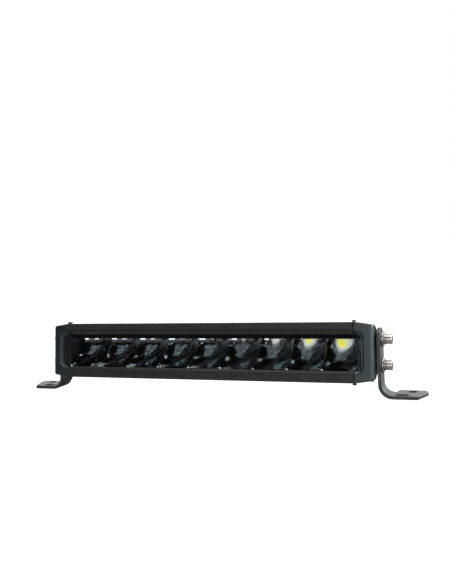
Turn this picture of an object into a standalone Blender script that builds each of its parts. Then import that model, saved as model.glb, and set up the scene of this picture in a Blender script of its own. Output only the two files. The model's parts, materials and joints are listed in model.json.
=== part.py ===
"""LED light bar, single row of nine cells, carried by two pivoting L brackets.

Bar frame: X along the bar, front plane at y = 0 looking towards -Y, z = 0 half way up.
World frame: the feet of the brackets stand on z = 0 and the bar leans back by TILT
about the pivot bolts. Lengths are written in millimetres and scaled once by MM.
"""
import bmesh
import bpy
from math import cos, pi, radians, sin, sqrt, tan, atan2, acos
from mathutils import Matrix, Vector
from mathutils.geometry import tessellate_polygon

MM = 0.001

# driving dimensions, millimetres and degrees
CELLS = 9
PITCH = 36.0
TILT = 7.0
HOUSING_HALF = 159.5
BODY_HALF_HEIGHT = 29.6
EDGE = 0.8
BODY_DEPTH = 64.0
FRONT_DEPTH = 20.0
REAR_HALF_HEIGHT = 21.5
SLOPE_END = 34.0
LIP_TOP = 21.5
LIP_BOTTOM = -20.2
THROAT_TOP = 17.6
THROAT_BOTTOM = -18.2
THROAT_DEPTH = 4.4
LIP_BREAK = 2.2
GROOVE_TOP = 20.6
GROOVE_BOTTOM = -21.2
GROOVE_BACK = 9.6
RIB_BACK = 11.2
WEB_UNDER = 17.0
REAR_WALL_IN = 49.5
REAR_WALL_OUT = 52.0
GASKET_IN = 159.8
GASKET_OUT = 160.6
CAP_IN = 160.9
CAP_OUT = 178.4
CAP_TAPER = 2.7
CAP_ROUND = 2.2
WINDOW_OUT = 169.2
WINDOW_RADIUS = 7.0
EAR_HALF = 1.75
EAR_HEIGHT = 1.5
FOCAL = 7.5
VERTEX_Y = 47.9
SHELF_Z = 13.0
REFLECTOR_BOTTOM = -18.0
REFLECTOR_TOP = 12.7
REFLECTOR_FRONT = 8.1
REFLECTOR_WALL = 1.2
REFLECTOR_HALF = 161.7
SHELF_HALF = 159.2
BOLT_Y = 27.0
BOLT_HALF_SPACING = 12.7
ARM_IN = 179.8
PLATE = 3.5
ARM_HALF_WIDTH = 10.5
BEND_OUTER = 14.0
PIVOT_HEIGHT = 31.85
PIVOT_Y = -6.15
SLOT_HALF_ANGLE = 10.5
BOLT_CLEAR = 3.3
FOOT_END = 45.5
FOOT_BACK = 20.0
GLAND_X = -60.0
VENT_X = 100.0
INLET_Z = -8.5
GAP = 0.3

BAR = (
    Matrix.Translation((0.0, PIVOT_Y * MM, PIVOT_HEIGHT * MM))
    @ Matrix.Rotation(radians(-TILT), 4, "X")
    @ Matrix.Translation((0.0, -BOLT_Y * MM, BOLT_HALF_SPACING * MM))
)

for old in list(bpy.data.objects):
    bpy.data.objects.remove(old, do_unlink=True)


def make_material(name, colour, metallic=0.0, roughness=0.5, alpha=1.0):
    mat = bpy.data.materials.new(name)
    mat.use_nodes = True
    shader = mat.node_tree.nodes["Principled BSDF"]
    shader.inputs["Base Color"].default_value = (*colour, 1.0)
    shader.inputs["Metallic"].default_value = metallic
    shader.inputs["Roughness"].default_value = roughness
    shader.inputs["Alpha"].default_value = alpha
    return mat


LOOKS = {
    "coated": ((0.03, 0.03, 0.032), 0.3, 0.42, 1.0),
    "bracket": ((0.12, 0.12, 0.12), 0.6, 0.38, 1.0),
    "rubber": ((0.015, 0.015, 0.015), 0.0, 0.8, 1.0),
    "stainless": ((0.62, 0.60, 0.58), 1.0, 0.3, 1.0),
    "chrome": ((0.9, 0.9, 0.92), 1.0, 0.05, 1.0),
    "clear": ((0.95, 0.97, 1.0), 0.0, 0.03, 0.25),
    "black_plastic": ((0.02, 0.02, 0.02), 0.0, 0.3, 1.0),
    "board": ((0.85, 0.85, 0.82), 0.0, 0.5, 1.0),
    "green_board": ((0.02, 0.2, 0.08), 0.0, 0.4, 1.0),
    "phosphor": ((0.9, 0.8, 0.15), 0.0, 0.5, 1.0),
    "pad": ((0.45, 0.5, 0.55), 0.0, 0.8, 1.0),
    "ferrite": ((0.08, 0.08, 0.09), 0.2, 0.6, 1.0),
    "can": ((0.55, 0.56, 0.6), 0.9, 0.3, 1.0),
}


def finish(name, bm, look, in_bar=True):
    """Turn a bmesh into a scene object with its own material."""
    bmesh.ops.remove_doubles(bm, verts=bm.verts, dist=1e-4)
    bmesh.ops.recalc_face_normals(bm, faces=bm.faces)
    mesh = bpy.data.meshes.new(name)
    bm.to_mesh(mesh)
    bm.free()
    scale = Matrix.Diagonal((MM, MM, MM, 1.0))
    mesh.transform(BAR @ scale if in_bar else scale)
    obj = bpy.data.objects.new(name, mesh)
    bpy.context.scene.collection.objects.link(obj)
    colour, metallic, roughness, alpha = LOOKS[look]
    obj.data.materials.append(make_material(name + "_mat", colour, metallic, roughness, alpha))
    return obj


def lift(axis, a, b, c):
    """Place a 2-D point (a, b) at height c along the axis."""
    if axis == "X":
        return Vector((c, a, b))
    if axis == "Y":
        return Vector((a, c, b))
    return Vector((a, b, c))


def stack(bm, layers):
    """Closed body through a list of layers, each a list of loops of 3-D points."""
    rings = []
    for layer in layers:
        rings.append([[bm.verts.new(p) for p in loop] for loop in layer])
    for lower, upper in zip(rings, rings[1:]):
        for ring_a, ring_b in zip(lower, upper):
            count = len(ring_a)
            for i in range(count):
                j = (i + 1) % count
                bm.faces.new((ring_a[i], ring_a[j], ring_b[j], ring_b[i]))
    for ring, layer in ((rings[0], layers[0]), (rings[-1], layers[-1])):
        flat = [v for loop in ring for v in loop]
        for tri in tessellate_polygon(layer):
            bm.faces.new([flat[k] for k in tri])
    return bm


def prism(name, loops, low, high, look, axis="X", in_bar=True):
    """Extrude a profile with holes along an axis."""
    layers = []
    for level in (low, high):
        layers.append([[lift(axis, a, b, level) for a, b in loop] for loop in loops])
    return finish(name, stack(bmesh.new(), layers), look, in_bar)


def circle(cy, cz, radius, count=24):
    return [
        (cy + radius * cos(2 * pi * k / count), cz + radius * sin(2 * pi * k / count))
        for k in range(count)
    ]


def hexagon(cy, cz, flats):
    radius = flats / sqrt(3.0)
    return circle(cy, cz, radius, 6)


def box_loop(a0, b0, a1, b1):
    return [(a0, b0), (a1, b0), (a1, b1), (a0, b1)]


def rounded(corners, steps=5):
    """Polygon from (a, b, radius) corners, each corner rounded by its radius."""
    loop = []
    total = len(corners)
    for i, (a, b, radius) in enumerate(corners):
        here = Vector((a, b))
        if radius <= 0.0:
            loop.append((a, b))
            continue
        before = Vector(corners[i - 1][:2])
        after = Vector(corners[(i + 1) % total][:2])
        u = (before - here).normalized()
        v = (after - here).normalized()
        half = acos(max(-1.0, min(1.0, u.dot(v)))) / 2.0
        reach = radius / tan(half)
        centre = here + (u + v).normalized() * (radius / sin(half))
        start = here + u * reach - centre
        end = here + v * reach - centre
        first = atan2(start.y, start.x)
        sweep = atan2(end.y, end.x) - first
        while sweep > pi:
            sweep -= 2 * pi
        while sweep < -pi:
            sweep += 2 * pi
        for k in range(steps + 1):
            angle = first + sweep * k / steps
            loop.append((centre.x + radius * cos(angle), centre.y + radius * sin(angle)))
    return loop


def lathe(name, profile, centre, look, axis="X", count=28, in_bar=True):
    """Turned body: profile of (along, radius), closed on the axis at both ends."""
    bm = bmesh.new()
    layers = []
    for along, radius in profile:
        layers.append([[lift(axis, a, b, along) for a, b in circle(*centre, radius, count)]])
    stack(bm, layers)
    return finish(name, bm, look, in_bar)


def cut(target, cutter, operation="DIFFERENCE"):
    """Keep the boolean live and hide its cutter."""
    mod = target.modifiers.new(cutter.name, "BOOLEAN")
    mod.operation = operation
    mod.solver = "EXACT"
    mod.object = cutter
    cutter.hide_render = True
    cutter.hide_viewport = False
    cutter.display_type = "WIRE"
    return target


def move_origin(obj, point):
    """Put the object's origin on its joint axis without moving the shape."""
    obj.data.transform(Matrix.Translation(-point))
    obj.location = point


# ---- housing -------------------------------------------------------------------------


def fin_teeth():
    """Rear edge of the extrusion from top to bottom, as fins and two screw ports."""
    points = []
    for z in (16.0, 9.6, 2.6, -2.6, -9.6, -16.0):
        if abs(z) == 9.6:
            sign = 1.0 if z > 0 else -1.0
            block = [(52.0, 3.4), (60.0, 3.4), (61.2, 0.8), (64.0, 0.7)]
            block += [(64.0, -0.7), (61.2, -0.8), (60.0, -3.4), (52.0, -3.4)]
            points += [(y, z + dz) for y, dz in block]
        else:
            points += [(REAR_WALL_OUT, z + 0.9), (BODY_DEPTH, z + 0.6)]
            points += [(BODY_DEPTH, z - 0.6), (REAR_WALL_OUT, z - 0.9)]
    return points


def housing_profile():
    top = BODY_HALF_HEIGHT
    outer = [(EDGE, top), (FRONT_DEPTH, top)]
    outer += [(SLOPE_END, REAR_HALF_HEIGHT), (BODY_DEPTH, REAR_HALF_HEIGHT)]
    outer += [(BODY_DEPTH, 20.1), (REAR_WALL_OUT, 19.6)]
    outer += fin_teeth()
    outer += [(REAR_WALL_OUT, -19.6), (BODY_DEPTH, -20.1)]
    outer += [(BODY_DEPTH, -REAR_HALF_HEIGHT), (SLOPE_END, -REAR_HALF_HEIGHT)]
    outer += [(FRONT_DEPTH, -top), (EDGE, -top)]
    outer += [(0.0, -top + EDGE), (0.0, LIP_BOTTOM), (LIP_BREAK, THROAT_BOTTOM)]
    outer += [(THROAT_DEPTH, THROAT_BOTTOM)]
    outer += [(THROAT_DEPTH, GROOVE_BOTTOM), (GROOVE_BACK, GROOVE_BOTTOM)]
    outer += [(GROOVE_BACK, -18.4), (RIB_BACK, -18.4), (RIB_BACK, -21.6)]
    outer += [(18.2, -21.6), (18.2, -27.5), (19.1, -27.5), (34.4, -18.2)]
    outer += [(REAR_WALL_IN, -18.2), (REAR_WALL_IN, WEB_UNDER), (GROOVE_BACK, WEB_UNDER)]
    outer += [(GROOVE_BACK, GROOVE_TOP), (THROAT_DEPTH, GROOVE_TOP)]
    outer += [(THROAT_DEPTH, THROAT_TOP), (0.0, LIP_TOP), (0.0, top - EDGE)]
    holes = [circle(14.5, 22.8, 2.3, 16), circle(14.5, -25.2, 2.3, 16)]
    holes += [circle(56.4, 9.6, 2.3, 16), circle(56.4, -9.6, 2.3, 16)]
    holes.append(box_loop(2.4, 23.4, 10.4, 27.6))
    holes.append(box_loop(2.4, -27.6, 10.4, -23.6))
    holes.append([(18.5, 22.2), (27.4, 22.2), (19.2, 27.4), (18.5, 27.4)])
    return [outer] + holes


housing = prism("housing", housing_profile(), -HOUSING_HALF, HOUSING_HALF, "coated")
for tag, x, reach, hole in (("gland", GLAND_X, 14.0, 6.4), ("vent", VENT_X, 11.0, 3.4)):
    pocket = box_loop(x - reach, -18.6, x + reach, 1.0)
    cut(housing, prism("cut_fins_" + tag, [pocket], REAR_WALL_OUT - 0.1, 70.0, "coated", "Y"))
    bore = circle(x, INLET_Z, hole)
    cut(housing, prism("cut_bore_" + tag, [bore], 45.0, 55.0, "coated", "Y"))

# ---- optics and electronics ----------------------------------------------------------


def cell_centre(index):
    return (index - (CELLS - 1) / 2.0) * PITCH


def reflector_height(dx, z):
    """Mirror surface of one cell and the wall behind it."""
    r2 = dx * dx + (SHELF_Z - z) ** 2
    bowl = VERTEX_Y - r2 / (4.0 * FOCAL)
    wall = REFLECTOR_WALL * sqrt(1.0 + r2 / (4.0 * FOCAL * FOCAL))
    front = max(REFLECTOR_FRONT, bowl)
    return front, max(bowl + wall, front + REFLECTOR_WALL)


def build_reflector():
    """Row of half paraboloids that meet in curved ridges, as one moulded shell."""
    across = 10
    down = 11
    columns = []
    for index in range(CELLS):
        first = 0 if index == 0 else 1
        for k in range(first, across + 1):
            dx = (k / across - 0.5) * PITCH
            x = cell_centre(index) + dx
            x = max(-REFLECTOR_HALF, min(REFLECTOR_HALF, x))
            columns.append((x, dx))
    bm = bmesh.new()
    sheets = [[], []]
    for x, dx in columns:
        pair = [[], []]
        for j in range(down + 1):
            z = REFLECTOR_BOTTOM + (REFLECTOR_TOP - REFLECTOR_BOTTOM) * j / down
            for side, y in enumerate(reflector_height(dx, z)):
                pair[side].append(bm.verts.new((x, y, z)))
        for side in (0, 1):
            sheets[side].append(pair[side])
    last = len(columns) - 1
    for side in (0, 1):
        for i in range(last):
            for j in range(down):
                a, b = sheets[side][i], sheets[side][i + 1]
                bm.faces.new((a[j], b[j], b[j + 1], a[j + 1]))
    for i in range(last):
        for j in (0, down):
            f0, f1 = sheets[0][i][j], sheets[0][i + 1][j]
            b0, b1 = sheets[1][i][j], sheets[1][i + 1][j]
            bm.faces.new((f0, f1, b1, b0))
    for i in (0, last):
        for j in range(down):
            f0, f1 = sheets[0][i][j], sheets[0][i][j + 1]
            b0, b1 = sheets[1][i][j], sheets[1][i][j + 1]
            bm.faces.new((f0, f1, b1, b0))
    return finish("reflector", bm, "chrome")


build_reflector()

lens_corners = [(-165.0, -20.9, 4.0), (165.0, -20.9, 4.0), (165.0, 20.3, 4.0), (-165.0, 20.3, 4.0)]
prism("lens", [rounded(lens_corners)], 4.7, 7.7, "clear", "Y")

seal_outer = [(-164.7, -20.7, 4.0), (164.7, -20.7, 4.0), (164.7, 20.1, 4.0), (-164.7, 20.1, 4.0)]
seal_inner = box_loop(-162.1, -18.5, 162.1, 17.9)
prism("lens_seal", [rounded(seal_outer), seal_inner], 8.0, 9.3, "rubber", "Y")

windows = []
for index in range(CELLS):
    x = cell_centre(index)
    windows.append(box_loop(x - 3.2, 37.8, x + 3.2, 42.8))
baffle = box_loop(-SHELF_HALF, 9.0, SHELF_HALF, 49.0)
shelf = prism("baffle", [baffle] + windows, SHELF_Z, SHELF_Z + 1.0, "black_plastic", "Z")
front_lip = box_loop(-SHELF_HALF, 9.0, SHELF_HALF, 10.5)
cut(shelf, prism("join_baffle_lip", [front_lip], SHELF_Z + 0.4, 16.7, "black_plastic", "Z"), "UNION")
prism("led_board", [box_loop(-158.0, 11.8, 158.0, 48.6)], 14.3, 15.9, "board", "Z")
prism("thermal_pad", [box_loop(-158.0, 12.2, 158.0, 48.2)], 16.2, 16.7, "pad", "Z")
for index in range(CELLS):
    x = cell_centre(index)
    chip = box_loop(x - 2.8, 38.2, x + 2.8, 42.4)
    prism("led_%d" % (index + 1), [chip], 12.8, 14.0, "phosphor", "Z")

prism("driver_board", [box_loop(-30.0, 29.0, 60.0, 48.6)], -17.9, -16.3, "green_board", "Z")
lathe("driver_inductor", [(-16.0, 5.0), (-9.6, 5.0)], (0.0, 42.6), "ferrite", "Z")
lathe("driver_capacitor_1", [(-16.0, 4.0), (-8.2, 4.0), (-7.6, 3.4)], (18.0, 43.6), "can", "Z", 20)
lathe("driver_capacitor_2", [(-16.0, 4.0), (-8.2, 4.0), (-7.6, 3.4)], (32.0, 43.6), "can", "Z", 20)
prism("driver_connector", [box_loop(-26.0, 38.0, -14.0, 46.0)], -16.0, -9.0, "board", "Z")

# ---- end caps and their gaskets ------------------------------------------------------

CAP_OUTLINE = [
    (0.0, BODY_HALF_HEIGHT), (FRONT_DEPTH, BODY_HALF_HEIGHT),
    (SLOPE_END, REAR_HALF_HEIGHT), (BODY_DEPTH, REAR_HALF_HEIGHT),
    (BODY_DEPTH, -REAR_HALF_HEIGHT), (SLOPE_END, -REAR_HALF_HEIGHT),
    (FRONT_DEPTH, -BODY_HALF_HEIGHT), (0.0, -BODY_HALF_HEIGHT),
]
CAP_CORNERS = [1.0, 3.0, 3.0, 1.5, 1.5, 3.0, 3.0, 1.0]
CAP_SCREWS = [(14.5, 22.8), (14.5, -25.2), (56.4, 9.6), (56.4, -9.6)]


def inset(loop, distance):
    """Move every edge of a clockwise (y, z) loop inwards by the same distance."""
    result = []
    total = len(loop)
    for i in range(total):
        here = Vector(loop[i])
        d0 = (here - Vector(loop[i - 1])).normalized()
        d1 = (Vector(loop[(i + 1) % total]) - here).normalized()
        n0 = Vector((d0.y, -d0.x))
        n1 = Vector((d1.y, -d1.x))
        mitre = (n0 + n1) / (1.0 + n0.dot(n1))
        result.append(tuple(here + mitre * distance))
    return result


def cap_section(x):
    """Outline of the cap at x: tapered in height, then rounded off towards its face."""
    share = (x - CAP_IN) / (CAP_OUT - CAP_IN)
    drop = CAP_TAPER * share
    loop = [(y, z - drop if z > 0 else z + drop) for y, z in CAP_OUTLINE]
    distance = 0.0
    start = CAP_OUT - CAP_ROUND
    if x > start:
        part = min(1.0, (x - start) / CAP_ROUND)
        distance = CAP_ROUND * (1.0 - sqrt(max(0.0, 1.0 - part * part)))
    loop = inset(loop, distance)
    corners = []
    for (y, z), radius in zip(loop, CAP_CORNERS):
        corners.append((y, z, radius + 0.5 * distance))
    return rounded(corners, 3)


def build_cap(side, sign):
    stations = [CAP_IN, CAP_OUT - CAP_ROUND]
    for k in range(1, 6):
        stations.append(CAP_OUT - CAP_ROUND + CAP_ROUND * sin(radians(18.0 * k)) * 0.98)
    layers = []
    for x in stations:
        layers.append([[Vector((sign * x, y, z)) for y, z in cap_section(x)]])
    cap = finish("end_cap_" + side, stack(bmesh.new(), layers), "coated")

    def opening(top, bottom):
        return rounded(
            [
                (sign * (CAP_IN - 3.0), bottom, 0.0),
                (sign * WINDOW_OUT, bottom, WINDOW_RADIUS),
                (sign * WINDOW_OUT, top, WINDOW_RADIUS),
                (sign * (CAP_IN - 3.0), top, 0.0),
            ]
        )

    rise = (LIP_TOP - THROAT_TOP) / THROAT_DEPTH
    fall = (THROAT_BOTTOM - LIP_BOTTOM) / LIP_BREAK
    steps = [
        (-1.0, LIP_TOP + rise, LIP_BOTTOM - fall),
        (LIP_BREAK, LIP_TOP - rise * LIP_BREAK, THROAT_BOTTOM),
        (THROAT_DEPTH, THROAT_TOP, THROAT_BOTTOM),
    ]
    window = []
    for y, top, bottom in steps:
        window.append([[lift("Y", a, b, y) for a, b in opening(top, bottom)]])
    cutter = finish("cut_window_" + side, stack(bmesh.new(), window), "coated")
    cut(cap, cutter)
    pocket = opening(GROOVE_TOP, GROOVE_BOTTOM)
    cut(cap, prism("cut_lens_pocket_" + side, [pocket], THROAT_DEPTH - 0.02, GROOVE_BACK, "coated", "Y"))
    inner = box_loop(GROOVE_BACK - 0.02, -18.3, 49.4, 17.6)
    low, high = sorted((sign * (CAP_IN - 1.0), sign * 165.5))
    cut(cap, prism("cut_inside_" + side, [inner], low, high, "coated"))
    for k, z in enumerate((BOLT_HALF_SPACING, -BOLT_HALF_SPACING)):
        low, high = sorted((sign * 166.8, sign * (CAP_OUT + 1.0)))
        bore = circle(BOLT_Y, z, BOLT_CLEAR)
        cut(cap, prism("cut_bolt_%s_%d" % (side, k), [bore], low, high, "coated"))
    for k, (y, z) in enumerate(CAP_SCREWS):
        low, high = sorted((sign * (CAP_IN - 1.0), sign * (CAP_OUT + 1.0)))
        name = "cut_screw_%s_%d" % (side, k)
        cut(cap, prism(name, [circle(y, z, 2.3, 16)], low, high, "coated"))
        low, high = sorted((sign * 174.1, sign * (CAP_OUT + 1.0)))
        name = "cut_head_%s_%d" % (side, k)
        cut(cap, prism(name, [circle(y, z, 3.7, 20)], low, high, "coated"))
    return cap


def build_gasket(side, sign):
    top = BODY_HALF_HEIGHT - 0.2
    tab = BODY_HALF_HEIGHT + 1.3
    outer = [(0.0, LIP_TOP), (0.0, top), (1.4, top), (1.4, tab), (6.6, tab), (6.6, top)]
    outer += [(FRONT_DEPTH, top), (33.9, 21.3), (62.0, 21.3), (62.0, -21.3), (33.9, -21.3)]
    outer += [(FRONT_DEPTH, -top), (6.6, -top), (6.6, -tab), (1.4, -tab), (1.4, -top), (0.0, -top)]
    outer += [(0.0, LIP_BOTTOM), (THROAT_DEPTH, -21.3), (9.6, -21.3), (9.6, -18.3)]
    outer += [(49.5, -18.3), (49.5, 18.3), (9.6, 18.3), (9.6, 20.7), (THROAT_DEPTH, 20.7)]
    holes = [circle(y, z, 2.3, 16) for y, z in CAP_SCREWS]
    low, high = sorted((sign * GASKET_IN, sign * GASKET_OUT))
    gasket = prism("gasket_" + side, [outer] + holes, low, high, "rubber")
    middle = sign * (GASKET_IN + GASKET_OUT) / 2.0
    lift_off = BODY_HALF_HEIGHT + GAP + EAR_HEIGHT / 2.0
    for k, z in enumerate((lift_off, -lift_off)):
        tab = box_loop(1.0, z - EAR_HEIGHT / 2.0, 7.0, z + EAR_HEIGHT / 2.0)
        ear = prism("ear_%s_%d" % (side, k), [tab], middle - EAR_HALF, middle + EAR_HALF, "rubber")
        cut(gasket, ear, "UNION")
    return gasket


def build_cap_screw(side, sign, number, y, z):
    """Countersunk-depth socket screw that pulls the cap onto the housing."""
    inner = [(sign * 148.0, 1.6), (sign * 149.0, 2.0), (sign * 174.4, 2.0), (sign * 174.4, 3.4)]
    profile = inner + [(sign * 176.6, 3.4), (sign * 176.9, 3.1)]
    screw = lathe("cap_screw_%s_%d" % (side, number), profile, (y, z), "stainless", count=18)
    low, high = sorted((sign * 175.2, sign * 178.0))
    drive = hexagon(y, z, 2.5)
    cut(screw, prism("cut_drive_%s_%d" % (side, number), [drive], low, high, "stainless"))
    return screw


# ---- brackets, pads and pivot hardware -----------------------------------------------

ARM_TOP = PIVOT_HEIGHT + 2 * BOLT_HALF_SPACING + 11.6
BEND_START = ARM_TOP - BEND_OUTER
BEND_LENGTH = (BEND_OUTER - PLATE / 2.0) * pi / 2.0
BEND_END = BEND_START + BEND_LENGTH


def foot(reach):
    """Flat-pattern distance of a point on the foot, measured from the arm's inner face."""
    return BEND_END + reach - BEND_OUTER


def arc_slot(pivot, radius, half_width, half_angle):
    """Slot that follows a circle round the pivot, in flat-pattern coordinates."""
    steps = 10
    points = []
    for k in range(steps + 1):
        angle = radians(-half_angle + 2 * half_angle * k / steps)
        points.append((pivot - (radius + half_width) * cos(angle), (radius + half_width) * sin(angle)))
    for end in (1.0, -1.0):
        middle = radians(end * half_angle)
        cs = pivot - radius * cos(middle)
        cw = radius * sin(middle)
        if end < 0:
            for k in range(steps + 1):
                angle = radians(half_angle - 2 * half_angle * k / steps)
                inner = radius - half_width
                points.append((pivot - inner * cos(angle), inner * sin(angle)))
        for k in range(1, 8):
            turn = middle + pi * k / 8.0
            if end > 0:
                out = (-cos(turn), sin(turn))
            else:
                out = (cos(turn), -sin(turn))
            points.append((cs + half_width * out[0], cw + half_width * out[1]))
    return points


def bend(point):
    """Map a flat-pattern point (along, across, through) onto the folded plate."""
    along, across, through = point
    radius = BEND_OUTER - through
    if along <= BEND_START:
        return Vector((ARM_IN + through, across, ARM_TOP - along))
    if along < BEND_END:
        angle = (along - BEND_START) / (BEND_END - BEND_START) * pi / 2.0
        x = ARM_IN + BEND_OUTER - radius * cos(angle)
        return Vector((x, across, BEND_OUTER - radius * sin(angle)))
    return Vector((ARM_IN + BEND_OUTER + along - BEND_END, across, BEND_OUTER - radius))


def build_bracket(side, sign):
    """Stamped plate folded into an arm and a foot; left and right are mirror images."""
    w = ARM_HALF_WIDTH
    corners = [
        (0.0, -w, 9.0),
        (foot(37.5), -w, 2.5),
        (foot(FOOT_END), 12.5, 3.0),
        (foot(42.5), FOOT_BACK, 2.5),
        (foot(16.4), FOOT_BACK, 2.0),
        (foot(15.0), w, 1.5),
        (0.0, w, 9.0),
    ]
    pivot = ARM_TOP - PIVOT_HEIGHT
    slot = [
        (foot(15.2), -7.9, 3.39),
        (foot(28.8), -7.9, 3.39),
        (foot(28.8), -1.1, 3.39),
        (foot(15.2), -1.1, 3.39),
    ]
    loops = [
        rounded(corners, 7),
        circle(pivot, 0.0, BOLT_CLEAR),
        arc_slot(pivot, 2 * BOLT_HALF_SPACING, BOLT_CLEAR, SLOT_HALF_ANGLE),
        circle(foot(30.0), 12.0, 4.2),
        rounded(slot, 6),
    ]
    bm = bmesh.new()
    layers = []
    for level in (0.0, PLATE):
        layers.append([[Vector((a, b, level)) for a, b in loop] for loop in loops])
    stack(bm, layers)
    for k in range(9):
        along = BEND_START + BEND_LENGTH * k / 8.0
        parts = list(bm.verts) + list(bm.edges) + list(bm.faces)
        bmesh.ops.bisect_plane(bm, geom=parts, plane_co=(along, 0, 0), plane_no=(1, 0, 0), dist=1e-5)
    bmesh.ops.triangulate(bm, faces=bm.faces)
    for vert in bm.verts:
        folded = bend(vert.co)
        vert.co = Vector((sign * folded.x, folded.y + PIVOT_Y, folded.z))
    bracket = finish("bracket_" + side, bm, "bracket", in_bar=False)
    move_origin(bracket, Vector((sign * ARM_IN * MM, PIVOT_Y * MM, PIVOT_HEIGHT * MM)))
    return bracket


def split_ring(y, z, inner, outer, opening):
    """Open ring of a spring washer."""
    steps = 26
    points = []
    for radius, order in ((outer, range(steps + 1)), (inner, range(steps, -1, -1))):
        for k in order:
            angle = radians(opening / 2.0 + (360.0 - opening) * k / steps)
            points.append((y + radius * cos(angle), z + radius * sin(angle)))
    return points


def build_pivot_hardware(side, sign):
    near = BOLT_Y - 9.5
    far = BOLT_Y + 8.5
    pad = [(near, -17.5, 3.0), (far, -17.5, 3.0), (far, 17.5, 3.0), (near, 17.5, 3.0)]
    holes = [circle(BOLT_Y, z, BOLT_CLEAR) for z in (BOLT_HALF_SPACING, -BOLT_HALF_SPACING)]
    low, high = sorted((sign * (CAP_OUT + GAP), sign * (ARM_IN - GAP)))
    prism("bracket_pad_" + side, [rounded(pad)] + holes, low, high, "rubber")
    outer_face = ARM_IN + PLATE
    for place, z in (("upper", BOLT_HALF_SPACING), ("lower", -BOLT_HALF_SPACING)):
        tag = "%s_%s" % (place, side)
        loops = [circle(BOLT_Y, z, 7.75, 32), circle(BOLT_Y, z, BOLT_CLEAR)]
        low, high = sorted((sign * (outer_face + 0.3), sign * (outer_face + 1.7)))
        prism("washer_" + tag, loops, low, high, "stainless")
        ring = split_ring(BOLT_Y, z, 3.4, 5.4, 14.0)
        low, high = sorted((sign * (outer_face + 2.0), sign * (outer_face + 3.4)))
        prism("spring_washer_" + tag, [ring], low, high, "stainless")
        head = outer_face + 3.7
        profile = [(sign * 167.2, 2.4), (sign * 168.2, 3.0), (sign * head, 3.0), (sign * head, 5.0)]
        profile += [(sign * (head + 5.7), 5.0), (sign * (head + 6.2), 4.5)]
        bolt = lathe("bolt_" + tag, profile, (BOLT_Y, z), "stainless", count=32)
        low, high = sorted((sign * (head + 3.0), sign * (head + 7.0)))
        drive = hexagon(BOLT_Y, z, 5.0)
        cut(bolt, prism("cut_socket_" + tag, [drive], low, high, "stainless"))


for side, sign in (("left", -1.0), ("right", 1.0)):
    build_cap(side, sign)
    build_gasket(side, sign)
    for number, (y, z) in enumerate(CAP_SCREWS):
        build_cap_screw(side, sign, number + 1, y, z)
    build_pivot_hardware(side, sign)
    build_bracket(side, sign)

# ---- cable inlet and breather --------------------------------------------------------

inlet = (GLAND_X, INLET_Z)
gland = prism("cable_gland", [hexagon(*inlet, 16.0)], 52.3, 57.0, "black_plastic", "Y")
thread = [(44.6, 5.6), (45.0, 6.0), (56.0, 6.0)]
cut(gland, lathe("join_gland_thread", thread, inlet, "black_plastic", "Y"), "UNION")
collar = [(56.0, 6.6), (62.0, 6.6)]
cut(gland, lathe("join_gland_collar", collar, inlet, "black_plastic", "Y"), "UNION")
cut(gland, prism("cut_gland_bore", [circle(*inlet, 4.0)], 40.0, 70.0, "black_plastic", "Y"))

nut = [(57.3, 8.2), (64.5, 8.2), (67.0, 6.6), (67.6, 5.8)]
gland_nut = lathe("gland_nut", nut, inlet, "black_plastic", "Y", 12)
cut(gland_nut, prism("cut_nut_seat", [circle(*inlet, 6.9)], 50.0, 62.3, "black_plastic", "Y"))
cut(gland_nut, prism("cut_nut_bore", [circle(*inlet, 4.0)], 50.0, 70.0, "black_plastic", "Y"))

lock = [hexagon(*inlet, 15.0), circle(*inlet, 6.3)]
prism("gland_locknut", lock, 46.0, 49.2, "black_plastic", "Y")

breather = (VENT_X, INLET_Z)
vent = prism("breather_vent", [hexagon(*breather, 12.0)], 52.3, 56.0, "black_plastic", "Y")
stem = [(46.2, 2.7), (46.6, 3.0), (55.0, 3.0)]
cut(vent, lathe("join_vent_stem", stem, breather, "black_plastic", "Y", 20), "UNION")
dome = [(55.0, 5.2), (57.6, 5.2), (58.4, 4.4)]
cut(vent, lathe("join_vent_dome", dome, breather, "black_plastic", "Y", 24), "UNION")
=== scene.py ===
"""Looks of the LED light bar: finer pieces, materials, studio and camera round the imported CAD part.

Bar frame: X along the bar, front plane at y = 0 looking towards -Y, z = 0 half way up, millimetres.
"""

import json
from math import acos, atan2, cos, pi, radians, sin, sqrt, tan

import bmesh
import bpy
from mathutils import Matrix, Vector
from mathutils.geometry import tessellate_polygon


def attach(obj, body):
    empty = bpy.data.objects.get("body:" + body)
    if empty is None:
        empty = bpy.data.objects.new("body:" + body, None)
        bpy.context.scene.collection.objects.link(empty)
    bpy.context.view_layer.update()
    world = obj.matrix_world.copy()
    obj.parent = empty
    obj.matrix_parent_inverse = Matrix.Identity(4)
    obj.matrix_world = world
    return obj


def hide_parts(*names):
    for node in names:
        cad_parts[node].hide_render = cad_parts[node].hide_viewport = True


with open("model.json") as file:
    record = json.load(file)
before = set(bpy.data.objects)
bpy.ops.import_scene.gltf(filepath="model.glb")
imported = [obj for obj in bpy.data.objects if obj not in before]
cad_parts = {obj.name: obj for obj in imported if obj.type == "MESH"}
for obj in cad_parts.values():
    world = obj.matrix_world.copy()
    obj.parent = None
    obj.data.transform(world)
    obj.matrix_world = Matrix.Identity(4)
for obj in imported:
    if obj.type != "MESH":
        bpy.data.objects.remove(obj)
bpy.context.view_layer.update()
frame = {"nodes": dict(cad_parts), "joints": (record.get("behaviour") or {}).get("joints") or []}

MM = 0.001
SCALE = Matrix.Diagonal((MM, MM, MM, 1.0))

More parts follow.
